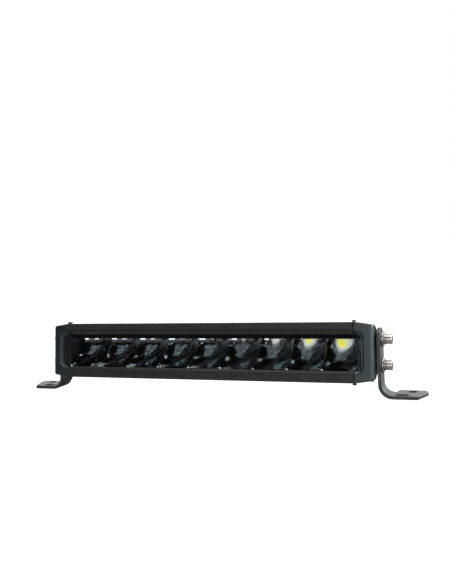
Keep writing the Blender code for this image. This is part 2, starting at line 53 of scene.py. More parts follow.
# dimensions of the part, millimetres and degrees
CELLS = 9
PITCH = 36.0
TILT = 7.0
HOUSING_HALF = 159.5
BODY_HALF_HEIGHT = 29.6
BODY_DEPTH = 64.0
FRONT_DEPTH = 20.0
REAR_HALF_HEIGHT = 21.5
SLOPE_END = 34.0
LIP_TOP = 21.5
LIP_BOTTOM = -20.2
THROAT_TOP = 17.6
THROAT_BOTTOM = -18.2
THROAT_DEPTH = 4.4
LIP_BREAK = 1.3
GROOVE_TOP = 20.6
GROOVE_BOTTOM = -21.2
GROOVE_BACK = 9.6
RIB_BACK = 11.2
WEB_UNDER = 17.0
REAR_WALL_IN = 49.5
REAR_WALL_OUT = 52.0
GASKET_IN = 159.8
GASKET_OUT = 160.6
CAP_IN = 160.9
CAP_OUT = 178.4
CAP_TAPER = 2.7
CAP_ROUND = 2.2
WINDOW_OUT = 169.2
WINDOW_RADIUS = 7.0
FOCAL = 7.5
VERTEX_Y = 47.9
SHELF_Z = 13.0
REFLECTOR_BOTTOM = -18.0
REFLECTOR_TOP = 12.7
REFLECTOR_FRONT = 8.1
REFLECTOR_WALL = 1.2
REFLECTOR_HALF = 161.7
SHELF_HALF = 159.2
SHELF_FRONT = 9.0
SHELF_BACK = 49.0
BOARD_HALF = 158.0
LENS_HALF = 165.0
LENS_TOP = 20.3
LENS_BOTTOM = -20.9
LENS_CORNER = 4.0
CAVITY_OUT = 165.5
SCREW_SEAT = 174.1
BOLT_Y = 27.0
BOLT_HALF_SPACING = 12.7
ARM_IN = 179.8
PLATE = 3.5
ARM_HALF_WIDTH = 10.5
BEND_OUTER = 14.0
SLOT_HALF_ANGLE = 10.5
BOLT_CLEAR = 3.3
FOOT_END = 45.5
FOOT_BACK = 20.0
PORT_Z = 9.6
SCREW_HOLE = 2.3
CAP_SCREWS = [(14.5, 22.8), (14.5, -25.2), (56.4, PORT_Z), (56.4, -PORT_Z)]
GLAND_X = -60.0
VENT_X = 100.0
INLET_Z = -8.5

JOINT = {j["name"]: Vector(j["pos_m"]) for j in frame["joints"]}["bracket_right_pivot"]
PIVOT_Y = JOINT.y / MM
PIVOT_HEIGHT = JOINT.z / MM
BAR = (
    Matrix.Translation((0.0, JOINT.y, JOINT.z))
    @ Matrix.Rotation(radians(-TILT), 4, "X")
    @ Matrix.Translation((0.0, -BOLT_Y * MM, BOLT_HALF_SPACING * MM))
)
SIDES = (("left", -1.0), ("right", 1.0))

# ---- node helpers --------------------------------------------------------------------


class Look:
    """A Principled material with short calls for the nodes behind it."""

    def __init__(self, name, **sockets):
        self.mat = bpy.data.materials.new(name)
        self.mat.use_nodes = True
        self.tree = self.mat.node_tree
        self.shader = self.tree.nodes["Principled BSDF"]
        for key, value in sockets.items():
            self.shader.inputs[key.replace("_", " ")].default_value = value
        self.coords = self.node("ShaderNodeTexCoord").outputs["Object"]

    def node(self, kind, **props):
        made = self.tree.nodes.new(kind)
        for key, value in props.items():
            setattr(made, key, value)
        return made

    def link(self, source, target):
        self.tree.links.new(source, target)

    def stretched(self, scale):
        mapping = self.node("ShaderNodeMapping")
        mapping.inputs["Scale"].default_value = scale
        self.link(self.coords, mapping.inputs["Vector"])
        return mapping.outputs["Vector"]

    def noise(self, scale, detail=2.0, rough=0.5, vector=None):
        made = self.node("ShaderNodeTexNoise")
        made.inputs["Scale"].default_value = scale
        made.inputs["Detail"].default_value = detail
        made.inputs["Roughness"].default_value = rough
        self.link(vector or self.coords, made.inputs["Vector"])
        return made.outputs["Fac"]

    def cells(self, scale):
        made = self.node("ShaderNodeTexVoronoi", feature="SMOOTH_F1")
        made.inputs["Scale"].default_value = scale
        self.link(self.coords, made.inputs["Vector"])
        return made.outputs["Distance"]

    def spread(self, value, low, high, start=0.3, end=0.7):
        made = self.node("ShaderNodeMapRange")
        made.inputs["From Min"].default_value = start
        made.inputs["From Max"].default_value = end
        made.inputs["To Min"].default_value = low
        made.inputs["To Max"].default_value = high
        self.link(value, made.inputs["Value"])
        return made.outputs["Result"]

    def tint(self, value, dark, light):
        ramp = self.node("ShaderNodeValToRGB")
        ramp.color_ramp.elements[0].position = 0.3
        ramp.color_ramp.elements[0].color = (*dark, 1.0)
        ramp.color_ramp.elements[1].position = 0.7
        ramp.color_ramp.elements[1].color = (*light, 1.0)
        self.link(value, ramp.inputs["Fac"])
        return ramp.outputs["Color"]

    def maths(self, operation, a, b):
        made = self.node("ShaderNodeMath", operation=operation)
        for socket, value in zip(made.inputs, (a, b)):
            if isinstance(value, float):
                socket.default_value = value
            else:
                self.link(value, socket)
        return made.outputs["Value"]

    def mixed(self, share, a, b):
        made = self.node("ShaderNodeMix", data_type="RGBA")
        for key, value in (("Factor", share), ("A", a), ("B", b)):
            socket = [s for s in made.inputs if s.name == key and s.enabled][0]
            if isinstance(value, tuple):
                socket.default_value = (*value, 1.0)
            else:
                self.link(value, socket)
        return [s for s in made.outputs if s.enabled][0]

    def edges(self):
        point = self.node("ShaderNodeNewGeometry").outputs["Pointiness"]
        return self.spread(point, 0.0, 1.0, 0.52, 0.62)

    def bump(self, height, strength, distance, under=None):
        made = self.node("ShaderNodeBump")
        made.inputs["Strength"].default_value = strength
        made.inputs["Distance"].default_value = distance
        self.link(height, made.inputs["Height"])
        if under is not None:
            self.link(under, made.inputs["Normal"])
        return made.outputs["Normal"]

    def wear(self, colour=None, roughness=None, normal=None):
        pairs = (("Base Color", colour), ("Roughness", roughness), ("Normal", normal))
        for key, value in pairs:
            if value is not None:
                self.link(value, self.shader.inputs[key])
        return self.mat


def coating(name, dark, light, rough_low, rough_high, edge_wear_and_highlight, grain, gloss):
    """Baked-on satin coat: fine orange peel, faint mottling, and edges lightened both as rubbed wear and as
    a painted edge highlight.
    """
    look = Look(name, Specular_Tint=(0.84, 0.97, 1.0, 1.0), Specular_IOR_Level=gloss)
    mottle = look.tint(look.noise(38.0, 4.0, 0.6), dark, light)
    # rims take the lighter edge colour: partly rubbed wear, partly a painted highlight where edges would
    # catch the light
    rub_and_highlight = look.maths("MULTIPLY", look.edges(), look.noise(420.0, 3.0))
    colour = look.mixed(rub_and_highlight, mottle, edge_wear_and_highlight)
    roughness = look.spread(look.noise(90.0, 5.0, 0.65), rough_low, rough_high)
    peel = look.bump(look.noise(900.0, 2.0), 0.22 * grain, 0.00012)
    speck = look.bump(look.cells(2600.0), 0.25 * grain, 0.00005, peel)
    return look.wear(colour, roughness, speck)


def turned_steel(name, tone, rough_low, rough_high):
    """Stainless steel with turning marks round the X axis and slight staining."""
    look = Look(name, Metallic=1.0)
    marks = look.noise(300.0, 3.0, 0.6, look.stretched((6.0, 0.6, 0.6)))
    stain = look.noise(260.0, 3.0, 0.55)
    colour = look.tint(stain, [t * 0.78 for t in tone], tone)
    roughness = look.spread(look.noise(700.0, 3.0), rough_low, rough_high)
    return look.wear(colour, roughness, look.bump(marks, 0.18, 0.00006))


def rubber(name, tone, scale=700.0):
    """Matt rubber or foam with a little dust on it."""
    look = Look(name, Specular_IOR_Level=0.35)
    dusty = look.noise(150.0, 4.0, 0.6)
    colour = look.tint(dusty, tone, [t * 2.0 + 0.004 for t in tone])
    roughness = look.spread(look.noise(320.0, 3.0), 0.62, 0.85)
    return look.wear(colour, roughness, look.bump(look.noise(scale, 3.0), 0.3, 0.0001))


def moulding(name, dark, light, rough_low, rough_high, scale=500.0, painted_glow=None, power=0.0):
    """Moulded plastic with a fine grain; an emission colour, if given, is painted light on a part that is
    no lamp.
    """
    look = Look(name)
    if painted_glow is not None:
        look.shader.inputs["Emission Color"].default_value = (*painted_glow, 1.0)
        look.shader.inputs["Emission Strength"].default_value = power
    colour = look.tint(look.noise(60.0, 3.0), dark, light)
    roughness = look.spread(look.noise(240.0, 4.0), rough_low, rough_high)
    return look.wear(colour, roughness, look.bump(look.cells(scale), 0.16, 0.00008))


def mirror_coat():
    """Vacuum-metallised bowls: almost a mirror, with the slow ripple of the moulding."""
    look = Look("reflector_coat", Metallic=1.0)
    haze = look.noise(70.0, 4.0, 0.6)
    colour = look.tint(haze, (0.74, 0.79, 0.82), (0.86, 0.90, 0.92))
    roughness = look.spread(look.noise(160.0, 3.0), 0.05, 0.10)
    ripple = look.bump(look.noise(45.0, 1.0, 0.5), 0.05, 0.00004)
    return look.wear(colour, roughness, ripple)


def clear_cover():
    """Polycarbonate cover: passes light straight on and mirrors by Fresnel at its outer faces."""
    look = Look("clear_cover")
    tree = look.tree
    tree.nodes.remove(look.shader)
    out = tree.nodes["Material Output"]
    gloss = look.node("ShaderNodeBsdfGlossy")
    gloss.inputs["Color"].default_value = (1.0, 1.0, 1.0, 1.0)
    look.link(look.spread(look.noise(120.0, 3.0), 0.02, 0.05), gloss.inputs["Roughness"])
    clear = look.node("ShaderNodeBsdfTransparent")
    smear = look.tint(look.noise(18.0, 4.0), (0.955, 0.965, 0.97), (0.975, 0.985, 0.985))
    look.link(smear, clear.inputs["Color"])
    fresnel = look.node("ShaderNodeFresnel")
    fresnel.inputs["IOR"].default_value = 1.5
    front = look.node("ShaderNodeNewGeometry").outputs["Backfacing"]
    share = look.maths("MULTIPLY", fresnel.outputs["Fac"], look.maths("SUBTRACT", 1.0, front))
    mix = look.node("ShaderNodeMixShader")
    look.link(share, mix.inputs["Fac"])
    look.link(clear.outputs["BSDF"], mix.inputs[1])
    look.link(gloss.outputs["BSDF"], mix.inputs[2])
    look.link(mix.outputs["Shader"], out.inputs["Surface"])
    return look.mat


LOOKS = {
    # the fourth colour of each coat lights its rims: rubbed wear plus a painted edge highlight
    "housing": coating(
        "housing_coat", (0.0034, 0.0046, 0.0050), (0.0058, 0.0075, 0.0081),
        0.33, 0.42, (0.20, 0.19, 0.175), 0.55, 0.22,
    ),
    "cap": coating(
        "cap_coat", (0.0080, 0.0104, 0.0114), (0.0130, 0.0160, 0.0174),
        0.34, 0.42, (0.13, 0.13, 0.125), 0.9, 0.85,
    ),
    "bracket": coating(
        "bracket_coat", (0.024, 0.024, 0.024), (0.036, 0.035, 0.034),
        0.25, 0.36, (0.20, 0.19, 0.18), 0.6, 0.62,
    ),
    "steel": turned_steel("stainless", (0.54, 0.52, 0.495), 0.22, 0.38),
    "gasket": rubber("gasket_rubber_look", (0.012, 0.012, 0.013)),
    "pad": rubber("pad_rubber_look", (0.018, 0.018, 0.019)),
    "seal": rubber("seal_foam", (0.010, 0.010, 0.011), 1100.0),
    "shelf": moulding("shelf_black", (0.006, 0.006, 0.007), (0.010, 0.010, 0.011), 0.05, 0.09, 1500.0),
    "gland": moulding("gland_nylon", (0.014, 0.014, 0.015), (0.022, 0.022, 0.023), 0.38, 0.5),
    "board": moulding("solder_mask_white", (0.72, 0.73, 0.72), (0.84, 0.85, 0.84), 0.28, 0.4, 900.0),
    # the LED package and its gel are given an emission though the LEDs are off: painted light standing in
    # for light that reaches them in the bowls
    "ceramic": moulding(
        "led_package", (0.80, 0.80, 0.78), (0.88, 0.88, 0.86), 0.3, 0.4, 2000.0,
        (1.0, 0.98, 0.90), 0.5,
    ),
    "phosphor": moulding(
        "led_phosphor_gel", (0.86, 0.76, 0.05), (0.94, 0.85, 0.10), 0.35, 0.5, 2600.0,
        (0.98, 0.88, 0.03), 0.85,
    ),
    "green_board": moulding("solder_mask_green", (0.012, 0.11, 0.05), (0.02, 0.16, 0.07), 0.3, 0.42, 900.0),
    "thermal": rubber("thermal_silicone", (0.22, 0.25, 0.28), 500.0),
    "ferrite": moulding("ferrite_core", (0.03, 0.03, 0.033), (0.055, 0.055, 0.06), 0.5, 0.65, 900.0),
    "can": turned_steel("capacitor_sleeve", (0.5, 0.52, 0.56), 0.28, 0.4),
    "connector": moulding("connector_nylon", (0.7, 0.69, 0.64), (0.8, 0.79, 0.74), 0.35, 0.5),
    "mirror": mirror_coat(),
    "cover": clear_cover(),
}

# ---- shape helpers -------------------------------------------------------------------


def lift(axis, a, b, c):
    """Place a 2-D point (a, b) at height c along the axis."""
    if axis == "X":
        return Vector((c, a, b))
    if axis == "Y":
        return Vector((a, c, b))
    return Vector((a, b, c))


def stack(bm, layers):
    """Closed body through a list of layers, each a list of loops of 3-D points."""
    rings = []
    for layer in layers:
        rings.append([[bm.verts.new(p) for p in loop] for loop in layer])
    for lower, upper in zip(rings, rings[1:]):
        for ring_a, ring_b in zip(lower, upper):
            count = len(ring_a)
            for i in range(count):
                j = (i + 1) % count
                bm.faces.new((ring_a[i], ring_a[j], ring_b[j], ring_b[i]))
    for ring, layer in ((rings[0], layers[0]), (rings[-1], layers[-1])):
        flat = [v for loop in ring for v in loop]
        for tri in tessellate_polygon(layer):
            bm.faces.new([flat[k] for k in tri])
    return bm


def offset(loop, distance):
    """Move every edge of a loop towards its inside by distance, outwards if negative."""
    total = len(loop)
    area = 0.0
    for i in range(total):
        (a0, b0), (a1, b1) = loop[i - 1], loop[i]
        area += a0 * b1 - a1 * b0
    hand = 1.0 if area > 0 else -1.0
    result = []
    for i in range(total):
        here = Vector(loop[i])
        d0 = (here - Vector(loop[i - 1])).normalized()
        d1 = (Vector(loop[(i + 1) % total]) - here).normalized()
        n0 = Vector((-d0.y, d0.x)) * hand
        n1 = Vector((-d1.y, d1.x)) * hand
        mitre = (n0 + n1) / max(0.3, 1.0 + n0.dot(n1))
        result.append(tuple(here + mitre * distance))
    return result


def rounded(corners, steps=8):
    """Polygon from (a, b, radius) corners, each corner rounded by its radius."""
    loop = []
    total = len(corners)
    for i, (a, b, radius) in enumerate(corners):
        here = Vector((a, b))
        if radius <= 0.0:
            loop.append((a, b))
            continue
        before = Vector(corners[i - 1][:2])
        after = Vector(corners[(i + 1) % total][:2])
        u = (before - here).normalized()
        v = (after - here).normalized()
        half = acos(max(-1.0, min(1.0, u.dot(v)))) / 2.0
        reach = radius / tan(half)
        centre = here + (u + v).normalized() * (radius / sin(half))
        start = here + u * reach - centre
        end = here + v * reach - centre
        first = atan2(start.y, start.x)
        sweep = atan2(end.y, end.x) - first
        while sweep > pi:
            sweep -= 2 * pi
        while sweep < -pi:
            sweep += 2 * pi
        for k in range(steps + 1):
            angle = first + sweep * k / steps
            loop.append((centre.x + radius * cos(angle), centre.y + radius * sin(angle)))
    return loop


def circle(cy, cz, radius, count=48):
    return [
        (cy + radius * cos(2 * pi * k / count), cz + radius * sin(2 * pi * k / count))
        for k in range(count)
    ]


def box_loop(a0, b0, a1, b1):
    return [(a0, b0), (a1, b0), (a1, b1), (a0, b1)]


def soft_box(a0, b0, a1, b1, radius, steps=5):
    corners = [(a0, b0, radius), (a1, b0, radius), (a1, b1, radius), (a0, b1, radius)]
    return rounded(corners, steps)


def plate(loops, low, high, axis="X", edge=0.0, steps=3):
    """Extrude an outline with holes; every rim is rounded by edge. Returns a bmesh."""
    if edge <= 0.0:
        levels = [(low, 0.0), (high, 0.0)]
    else:
        levels = []
        for k in range(steps + 1):
            angle = pi / 2.0 * k / steps
            levels.append((low + edge * (1.0 - cos(angle)), edge * (1.0 - sin(angle))))
        levels += [(low + high - level, inset) for level, inset in reversed(levels)]
    layers = []
    for level, inset in levels:
        layer = []
        for number, loop in enumerate(loops):
            moved = offset(loop, inset if number == 0 else -inset) if inset > 1e-9 else loop
            layer.append([lift(axis, a, b, level) for a, b in moved])
        layers.append(layer)
    return stack(bmesh.new(), layers)


def lathe(profile, centre, axis="X", count=48, wobble=None):
    """Turned body from (along, radius) points; wobble(k, along, radius) may change a radius."""
    layers = []
    for along, radius in profile:
        ring = []
        for k in range(count):
            r = radius if wobble is None else wobble(k, along, radius)
            angle = 2 * pi * k / count
            a = centre[0] + r * cos(angle)
            b = centre[1] + r * sin(angle)
            ring.append(lift(axis, a, b, along))
        layers.append([ring])
    return stack(bmesh.new(), layers)


def solid(name, bm, look, in_bar=True):
    """Turn a bmesh in millimetres into an object, placed on the tilted bar if in_bar."""
    bmesh.ops.remove_doubles(bm, verts=bm.verts, dist=1e-4)
    bmesh.ops.recalc_face_normals(bm, faces=bm.faces)
    mesh = bpy.data.meshes.new(name)
    bm.to_mesh(mesh)
    bm.free()
    mesh.transform(BAR @ SCALE if in_bar else SCALE)
    obj = bpy.data.objects.new(name, mesh)
    bpy.context.scene.collection.objects.link(obj)
    obj.data.materials.append(LOOKS[look])
    return obj


def carve(obj, cutters):
    """Boolean with each (operation, bmesh) in turn and keep the result as plain mesh."""
    tools = []
    for operation, bm in cutters:
        tool = solid("tool", bm, "steel")
        modifier = obj.modifiers.new("cut", "BOOLEAN")
        modifier.operation = operation
        modifier.solver = "EXACT"
        modifier.object = tool
        tools.append(tool)
    graph = bpy.context.evaluated_depsgraph_get()
    mesh = bpy.data.meshes.new_from_object(obj.evaluated_get(graph))
    look = obj.data.materials[0]
    obj.modifiers.clear()
    obj.data = mesh
    mesh.materials.clear()
    mesh.materials.append(look)
    for tool in tools:
        bpy.data.objects.remove(tool, do_unlink=True)
    return obj


def dress(obj, body, node, sharp=34.0):
    """Smooth shading with sharp creases kept, then hand the piece over to the frame."""
    bm = bmesh.new()
    bm.from_mesh(obj.data)
    bmesh.ops.dissolve_degenerate(bm, edges=bm.edges, dist=2e-7)
    for face in bm.faces:
        face.smooth = True
    for edge in bm.edges:
        flat = len(edge.link_faces) == 2 and edge.calc_face_angle(pi) < radians(sharp)
        edge.smooth = flat
    bm.to_mesh(obj.data)
    bm.free()
    weighted = obj.modifiers.new("normals", "WEIGHTED_NORMAL")
    weighted.keep_sharp = True
    weighted.weight = 80
    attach(obj, body)
    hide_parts(node)


# ---- housing -------------------------------------------------------------------------


def fin_teeth():
    """Rear edge of the extrusion from top to bottom, as fins and two screw ports."""
    points = []
    for z in (16.0, PORT_Z, 2.6, -2.6, -PORT_Z, -16.0):
        if abs(z) == PORT_Z:
            sign = 1.0 if z > 0 else -1.0
            block = [(52.0, 3.4, 0.5), (60.0, 3.4, 0.5), (61.2, 0.8, 0.4), (64.0, 0.7, 0.5)]
            block += [(64.0, -0.7, 0.5), (61.2, -0.8, 0.4), (60.0, -3.4, 0.5), (52.0, -3.4, 0.5)]
            points += [(y, z + dz, r) for y, dz, r in block]
        else:
            points += [(REAR_WALL_OUT, z + 0.9, 0.5), (BODY_DEPTH, z + 0.6, 0.5)]
            points += [(BODY_DEPTH, z - 0.6, 0.5), (REAR_WALL_OUT, z - 0.9, 0.5)]
    return points


def housing_loops():
    top = BODY_HALF_HEIGHT
    outer = [(0.0, top, 1.1), (FRONT_DEPTH, top, 3.0)]
    outer += [(SLOPE_END, REAR_HALF_HEIGHT, 3.0), (BODY_DEPTH, REAR_HALF_HEIGHT, 0.6)]
    outer += [(BODY_DEPTH, 20.1, 0.5), (REAR_WALL_OUT, 19.6, 0.5)]
    outer += fin_teeth()
    outer += [(REAR_WALL_OUT, -19.6, 0.5), (BODY_DEPTH, -20.1, 0.5)]
    outer += [(BODY_DEPTH, -REAR_HALF_HEIGHT, 0.6), (SLOPE_END, -REAR_HALF_HEIGHT, 3.0)]
    outer += [(FRONT_DEPTH, -top, 3.0), (0.0, -top, 1.1)]
    outer += [(0.0, LIP_BOTTOM, 1.5), (LIP_BREAK, THROAT_BOTTOM, 0.25)]
    outer += [(THROAT_DEPTH, THROAT_BOTTOM, 0.3)]
    outer += [(THROAT_DEPTH, GROOVE_BOTTOM, 0.2), (GROOVE_BACK, GROOVE_BOTTOM, 0.2)]
    outer += [(GROOVE_BACK, -18.4, 0.2), (RIB_BACK, -18.4, 0.2), (RIB_BACK, -21.6, 0.3)]
    outer += [(18.2, -21.6, 0.4), (18.2, -27.5, 0.3), (19.1, -27.5, 0.3), (34.4, -18.2, 0.5)]
    outer += [(REAR_WALL_IN, -18.2, 0.5), (REAR_WALL_IN, WEB_UNDER, 0.5), (GROOVE_BACK, WEB_UNDER, 0.2)]
    outer += [(GROOVE_BACK, GROOVE_TOP, 0.2), (THROAT_DEPTH, GROOVE_TOP, 0.2)]
    outer += [(THROAT_DEPTH, THROAT_TOP, 0.3), (0.0, LIP_TOP, 0.2)]
    outer += [(0.9, LIP_TOP + 0.1, 0.1), (0.9, LIP_TOP + 0.9, 0.1), (0.0, LIP_TOP + 1.0, 0.2)]
    holes = [circle(y, z, SCREW_HOLE, 32) for y, z in CAP_SCREWS]
    holes.append(box_loop(2.4, 23.4, 10.4, 27.6))
    holes.append(box_loop(2.4, -27.6, 10.4, -23.6))
    holes.append([(18.5, 22.2), (27.4, 22.2), (19.2, 27.4), (18.5, 27.4)])
    return [rounded(outer, 5)] + holes


extrusion = plate(housing_loops(), -HOUSING_HALF, HOUSING_HALF, "X", 0.25, 2)
housing = solid("housing_extrusion", extrusion, "housing")
openings = []
for x, reach, hole in ((GLAND_X, 14.0, 6.4), (VENT_X, 11.0, 3.4)):
    pocket = soft_box(x - reach, -18.6, x + reach, 1.0, 1.5)
    openings.append(("DIFFERENCE", plate([pocket], REAR_WALL_OUT - 0.1, 70.0, "Y")))
    openings.append(("DIFFERENCE", plate([circle(x, INLET_Z, hole)], 45.0, 55.0, "Y")))
carve(housing, openings)
dress(housing, "bar", "housing")

# ---- optics and electronics ----------------------------------------------------------

RIDGE_RADIUS = 0.65


def cell_centre(index):
    return (index - (CELLS - 1) / 2.0) * PITCH


def ridge_reach():
    """Half the width of the rounded crown between two bowls."""
    slope = PITCH / (4.0 * FOCAL)
    return RIDGE_RADIUS * slope / sqrt(1.0 + slope * slope)


def bowl(dx, z):
    """Depth of the parabolic bowl at (dx, z) from its own axis."""
    return VERTEX_Y - (dx * dx + (SHELF_Z - z) ** 2) / (4.0 * FOCAL)


def bowl_height(x, z):
    """Front of the mirror shell at (x, z), its ridges rounded over."""
    index = min(CELLS - 1, max(0, round(x / PITCH + (CELLS - 1) / 2.0)))
    dx = x - cell_centre(index)
    reach = ridge_reach()
    from_ridge = PITCH / 2.0 - abs(dx)
    outermost = (index == 0 and dx < 0) or (index == CELLS - 1 and dx > 0)
    if from_ridge >= reach or outermost:
        return max(REFLECTOR_FRONT, bowl(dx, z))
    crown = bowl(PITCH / 2.0 - reach, z) + sqrt(RIDGE_RADIUS ** 2 - reach ** 2)
    return max(REFLECTOR_FRONT, crown - sqrt(RIDGE_RADIUS ** 2 - from_ridge ** 2))


def reflector_shell():
    """Nine bowls as one shell, its wall growing where the bowl slopes."""
    across, down = 44, 40
    reach = ridge_reach()
    columns = []
    for index in range(CELLS):
        half = PITCH / 2.0 - reach
        for k in range(across + 1):
            columns.append(cell_centre(index) - half + 2.0 * half * k / across)
        if index < CELLS - 1:
            ridge = cell_centre(index) + PITCH / 2.0
            columns += [ridge - reach / 2.0, ridge, ridge + reach / 2.0]
    inside = [x for x in columns if abs(x) < REFLECTOR_HALF - 0.05]
    columns = [-REFLECTOR_HALF] + inside + [REFLECTOR_HALF]
    bm = bmesh.new()
    sheets = [[], []]
    for x in columns:
        front, back = [], []
        index = min(CELLS - 1, max(0, round(x / PITCH + (CELLS - 1) / 2.0)))
        dx = x - cell_centre(index)
        for j in range(down + 1):
            z = REFLECTOR_BOTTOM + (REFLECTOR_TOP - REFLECTOR_BOTTOM) * j / down
            off_axis = dx * dx + (SHELF_Z - z) ** 2
            y = bowl_height(x, z)
            wall = (REFLECTOR_WALL - 0.05) * sqrt(1.0 + off_axis / (4.0 * FOCAL * FOCAL))
            wall = max(bowl(dx, z) + wall - y, REFLECTOR_WALL - 0.1)
            front.append(bm.verts.new((x, y, z)))
            back.append(bm.verts.new((x, y + wall, z)))
        sheets[0].append(front)
        sheets[1].append(back)
    last = len(columns) - 1
    for sheet in sheets:
        for i in range(last):
            for j in range(down):
                a, b = sheet[i], sheet[i + 1]
                bm.faces.new((a[j], b[j], b[j + 1], a[j + 1]))
    for i in range(last):
        for j in (0, down):
            quad = (sheets[0][i][j], sheets[0][i + 1][j], sheets[1][i + 1][j], sheets[1][i][j])
            bm.faces.new(quad)
    for i in (0, last):
        for j in range(down):
            quad = (sheets[0][i][j], sheets[0][i][j + 1], sheets[1][i][j + 1], sheets[1][i][j])
            bm.faces.new(quad)
    return bm


bowls = solid("reflector_bowls", reflector_shell(), "mirror")
dress(bowls, "bar", "reflector", 50.0)

lens_loop = soft_box(-LENS_HALF, LENS_BOTTOM, LENS_HALF, LENS_TOP, LENS_CORNER, 10)
lens = plate([lens_loop], 4.7, 7.7, "Y", 0.35)
dress(solid("lens_cover", lens, "cover"), "bar", "lens")

seal_half = LENS_HALF - 0.3
seal_outline = soft_box(-seal_half, LENS_BOTTOM + 0.2, seal_half, LENS_TOP - 0.2, LENS_CORNER, 10)
seal_inner = box_loop(-162.1, -18.5, 162.1, 17.9)
seal = plate([seal_outline, seal_inner], 8.0, 9.3, "Y", 0.2)
dress(solid("lens_gasket", seal, "seal"), "bar", "lens_seal")

shelf_loops = [box_loop(-SHELF_HALF, SHELF_FRONT, SHELF_HALF, SHELF_BACK)]
for index in range(CELLS):
    x = cell_centre(index)
    shelf_loops.append(soft_box(x - 3.2, 37.8, x + 3.2, 42.8, 0.4))
shelf = plate(shelf_loops, SHELF_Z, SHELF_Z + 1.0, "Z", 0.2, 2)
lip_loop = box_loop(-SHELF_HALF, SHELF_FRONT, SHELF_HALF, SHELF_FRONT + 1.5)
front_lip = plate([lip_loop], SHELF_Z + 0.4, 16.7, "Z", 0.15, 2)
shelf_piece = carve(solid("shelf_baffle", shelf, "shelf"), [("UNION", front_lip)])
dress(shelf_piece, "bar", "baffle")

board_loop = soft_box(-BOARD_HALF, 11.8, BOARD_HALF, 48.6, 1.0)
board = plate([board_loop], SHELF_Z + 1.3, SHELF_Z + 2.9, "Z", 0.1, 1)
dress(solid("led_strip_board", board, "board"), "bar", "led_board")
sheet_loop = soft_box(-BOARD_HALF, 12.2, BOARD_HALF, 48.2, 0.8)
sheet = plate([sheet_loop], SHELF_Z + 3.2, SHELF_Z + 3.7, "Z", 0.1, 1)
dress(solid("thermal_sheet", sheet, "thermal"), "bar", "thermal_pad")


def led_package(x):
    """White package with a square of yellow gel that stands a little proud, facing down."""
    bottom = SHELF_Z - 0.1
    bm = plate([soft_box(x - 2.5, 38.4, x + 2.5, 41.4, 0.3)], bottom, bottom + 1.1, "Z", 0.12, 2)
    gel_loop = soft_box(x - 2.2, 39.0, x + 2.2, 40.1, 0.3)
    gel = plate([gel_loop], bottom - 0.1, bottom + 0.5, "Z", 0.08, 2)
    start = len(bm.faces)
    gel.verts.index_update()
    copies = [bm.verts.new(vert.co) for vert in gel.verts]
    for face in gel.faces:
        bm.faces.new([copies[v.index] for v in face.verts])
    gel.free()
    bm.faces.ensure_lookup_table()
    for face in bm.faces[start:]:
        face.material_index = 1
    return bm


for index in range(CELLS):
    name = "led_%d" % (index + 1)
    chip = solid("chip_%d" % (index + 1), led_package(cell_centre(index)), "ceramic")
    chip.data.materials.append(LOOKS["phosphor"])
    dress(chip, "bar", name)

# ---- end caps, gaskets and cap screws -------------------------------------------------

CAP_OUTLINE = [
    (0.0, BODY_HALF_HEIGHT), (FRONT_DEPTH, BODY_HALF_HEIGHT),
    (SLOPE_END, REAR_HALF_HEIGHT), (BODY_DEPTH, REAR_HALF_HEIGHT),
    (BODY_DEPTH, -REAR_HALF_HEIGHT), (SLOPE_END, -REAR_HALF_HEIGHT),
    (FRONT_DEPTH, -BODY_HALF_HEIGHT), (0.0, -BODY_HALF_HEIGHT),
]
CAP_CORNERS = [1.0, 3.0, 3.0, 1.5, 1.5, 3.0, 3.0, 1.0]
CAP_EDGE = 0.35
WINDOW_FLARE = 1.4


def cap_section(x):
    """Outline of the cap at x: tapered in height, rounded off towards its face."""
    share = (x - CAP_IN) / (CAP_OUT - CAP_IN)
    drop = CAP_TAPER * share
    loop = [(y, z - drop if z > 0 else z + drop) for y, z in CAP_OUTLINE]
    distance = 0.0
    start = CAP_OUT - CAP_ROUND
    if x > start:
        part = min(1.0, (x - start) / CAP_ROUND)
        distance = CAP_ROUND * (1.0 - sqrt(max(0.0, 1.0 - part * part)))
    if x < CAP_IN + CAP_EDGE:
        part = 1.0 - (x - CAP_IN) / CAP_EDGE
        distance = CAP_EDGE * (1.0 - sqrt(max(0.0, 1.0 - part * part)))
    loop = offset(loop, distance)
    corners = [(y, z, r + 0.5 * distance) for (y, z), r in zip(loop, CAP_CORNERS)]
    return rounded(corners, 7)


def cap_opening(sign, top, bottom, grow=0.0, flare=0.0):
    """U-shaped outline of the opening; flare moves only its closed end."""
    inner = sign * (CAP_IN - 3.0)
    outer = sign * (WINDOW_OUT + grow + flare)
    radius = WINDOW_RADIUS + grow
    corners = [(inner, bottom - grow, 0.0), (outer, bottom - grow, radius)]
    corners += [(outer, top + grow, radius), (inner, top + grow, 0.0)]
    return rounded(corners, 12)


def cap_window(sign):
    """Cutter for the U-shaped front opening, with a small lead-in at its rim."""
    rise = (LIP_TOP - THROAT_TOP) / THROAT_DEPTH
    fall = (THROAT_BOTTOM - LIP_BOTTOM) / LIP_BREAK
    layers = []
    rim = [(-1.0, 0.45), (0.0, 0.45), (0.08, 0.27), (0.22, 0.1), (0.45, 0.0)]
    for y, grow in rim + [(LIP_BREAK, 0.0), (THROAT_DEPTH, 0.0)]:
        depth = max(y, 0.0)
        top = THROAT_TOP + rise * (THROAT_DEPTH - depth)
        bottom = THROAT_BOTTOM - fall * max(0.0, LIP_BREAK - depth)
        flare = WINDOW_FLARE * (0.5 - depth / THROAT_DEPTH)
        loop = cap_opening(sign, top, bottom, grow, flare)
        layers.append([[lift("Y", a, b, y) for a, b in loop]])
    return stack(bmesh.new(), layers)


